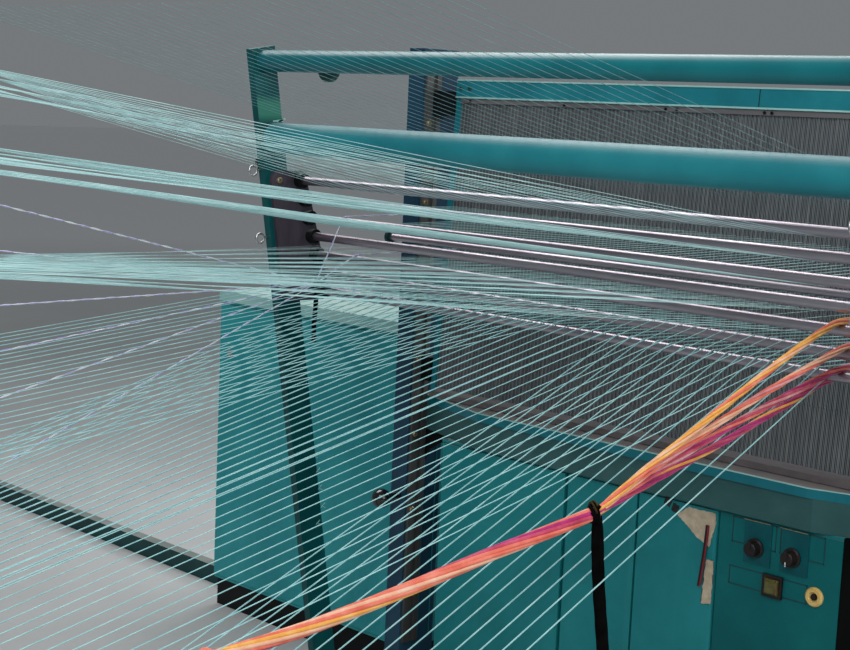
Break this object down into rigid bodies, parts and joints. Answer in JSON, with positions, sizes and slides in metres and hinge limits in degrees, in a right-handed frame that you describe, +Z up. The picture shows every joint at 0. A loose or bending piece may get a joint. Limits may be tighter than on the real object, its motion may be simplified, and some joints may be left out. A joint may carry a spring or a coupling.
{
  "type": "warping machine reed stand",
  "caption": "Free-standing yarn guide and reed stand of a warping machine, with guide tubes, divider rods, a lifting reed, a control cabinet, a side box and warp sheets.",
  "frame": {"origin": "on the floor, midway between the two posts and on the posts' centre line", "axes": "+X along the rods towards the control panel end, +Y from the creel side to the drum side, +Z up"},
  "size_m": [3.9693, 2.4208, 1.6309],
  "materials": {
    "teal_paint": "glossy teal enamel on steel",
    "dark_teal_paint": "darker teal enamel",
    "pale_teal_paint": "pale worn teal enamel on the box's lid",
    "navy_paint": "dark navy enamel",
    "black_paint": "black enamel, worn at the edges",
    "rod_steel": "polished hard steel rods",
    "plate_steel": "brushed steel plate",
    "rail_steel": "ground steel guide strip",
    "wire_steel": "polished flat reed wire",
    "baulk_alloy": "drawn lilac-grey alloy strip",
    "zinc_steel": "zinc-plated steel",
    "black_plastic": "matt black moulded plastic",
    "gloss_black": "polished black phenolic",
    "amber_lens": "amber button",
    "cream_ring": "cream and brass-coloured ring",
    "blue_plate": "blue-grey printed plate",
    "warp_yarn": "pale cyan spun yarn",
    "bundle_yarn": "orange, coral and magenta spun yarn",
    "lilac_yarn": "lilac cord",
    "black_ribbon": "black woven tie ribbon"
  },
  "bodies": {
    "stand": {"left_side_arm": "teal_paint", "right_side_arm": "teal_paint", "base_sills": "dark_teal_paint", "top_guide_tube": "teal_paint", "lower_guide_tube": "teal_paint", "stop_disc": "black_plastic", "left_rod_plate": "plate_steel", "right_rod_plate": "plate_steel", "rod_sockets": "black_plastic", "divider_rod_1": "rod_steel", "divider_rod_2": "rod_steel", "divider_rod_3": "rod_steel", "divider_rod_4": "rod_steel", "divider_rod_5": "rod_steel", "divider_rod_6": "rod_steel", "divider_rod_7": "rod_steel", "rear_rod": "rod_steel", "rear_rod_brackets": "dark_teal_paint", "left_post": "navy_paint", "right_post": "navy_paint", "post_caps": "black_paint", "left_slide_rail": "rail_steel", "right_slide_rail": "rail_steel", "cross_beam": "teal_paint", "beam_gussets": "black_paint", "cabinet_case": "teal_paint", "cabinet_plinth": "black_paint", "control_panel": "dark_teal_paint", "switch_plates": "blue_plate", "button_bezel": "black_plastic", "ring_socket": "cream_ring", "box_case": "teal_paint", "box_lid": "pale_teal_paint", "box_plinth": "black_paint", "floor_rail": "dark_teal_paint", "yarn_guides": "zinc_steel", "frame_screws": "zinc_steel", "upper_warp": "warp_yarn", "middle_warp": "warp_yarn", "lower_warp": "warp_yarn", "yarn_bundle": "bundle_yarn", "tie_ribbons": "black_ribbon", "lilac_yarns": "lilac_yarn"},
    "reed": {"reed_top_rail": "teal_paint", "reed_bottom_rail": "dark_teal_paint", "reed_side_strips": "teal_paint", "reed_baulks": "baulk_alloy", "reed_wires": "wire_steel", "reed_shoes": "black_plastic"},
    "left_door": {"left_door": "teal_paint"},
    "centre_door": {"centre_door": "teal_paint"},
    "right_door": {"right_door": "teal_paint"},
    "box_door": {"box_door": "teal_paint"},
    "box_latch": {"box_latch": "zinc_steel"},
    "left_switch": {"left_switch_knob": "black_plastic"},
    "right_switch": {"right_switch_knob": "black_plastic"},
    "button": {"push_button": "amber_lens"},
    "ball_knob": {"ball_knob": "gloss_black"},
    "left_clamp": {"left_clamp_knob": "black_plastic"},
    "right_clamp": {"right_clamp_knob": "black_plastic"}
  },
  "joints": [
    {"name": "reed_lift", "type": "slide", "parent": "stand", "child": "reed", "axis": [0, 0, 1], "range_m": [0, 0.06]},
    {"name": "left_door_hinge", "type": "hinge", "parent": "stand", "child": "left_door", "pos_m": [-0.574, -0.058, 0.36], "axis": [0, 0, -1], "range_deg": [0, 95]},
    {"name": "centre_door_hinge", "type": "hinge", "parent": "stand", "child": "centre_door", "pos_m": [-0.171, -0.058, 0.36], "axis": [0, 0, -1], "range_deg": [0, 95]},
    {"name": "right_door_hinge", "type": "hinge", "parent": "stand", "child": "right_door", "pos_m": [0.228, -0.058, 0.36], "axis": [0, 0, 1], "range_deg": [0, 95]},
    {"name": "box_door_hinge", "type": "hinge", "parent": "stand", "child": "box_door", "pos_m": [-0.808, 0.017, 0.5], "axis": [0, 0, 1], "range_deg": [0, 90]},
    {"name": "box_latch_turn", "type": "hinge", "parent": "box_door", "child": "box_latch", "pos_m": [-1.519, 0.009, 0.76], "axis": [0, -1, 0], "range_deg": [0, 90]},
    {"name": "left_switch_turn", "type": "hinge", "parent": "stand", "child": "left_switch", "pos_m": [0.334, -0.068, 0.618], "axis": [0, -1, 0], "range_deg": [-60, 60]},
    {"name": "right_switch_turn", "type": "hinge", "parent": "stand", "child": "right_switch", "pos_m": [0.422, -0.068, 0.618], "axis": [0, -1, 0], "range_deg": [-60, 60]},
    {"name": "button_press", "type": "slide", "parent": "stand", "child": "button", "axis": [0, 1, 0], "range_m": [0, 0.004], "stiffness_N_per_m": 600, "springref_m": -0.002},
    {"name": "ball_knob_turn", "type": "hinge", "parent": "stand", "child": "ball_knob", "pos_m": [-0.7335, -0.06, 0.51], "axis": [0, 1, 0], "continuous": true},
    {"name": "left_clamp_turn", "type": "hinge", "parent": "stand", "child": "left_clamp", "pos_m": [-0.78, -0.47649, 1.346], "axis": [1, 0, 0], "continuous": true},
    {"name": "right_clamp_turn", "type": "hinge", "parent": "stand", "child": "right_clamp", "pos_m": [0.78, -0.47649, 1.346], "axis": [1, 0, 0], "continuous": true}
  ]
}
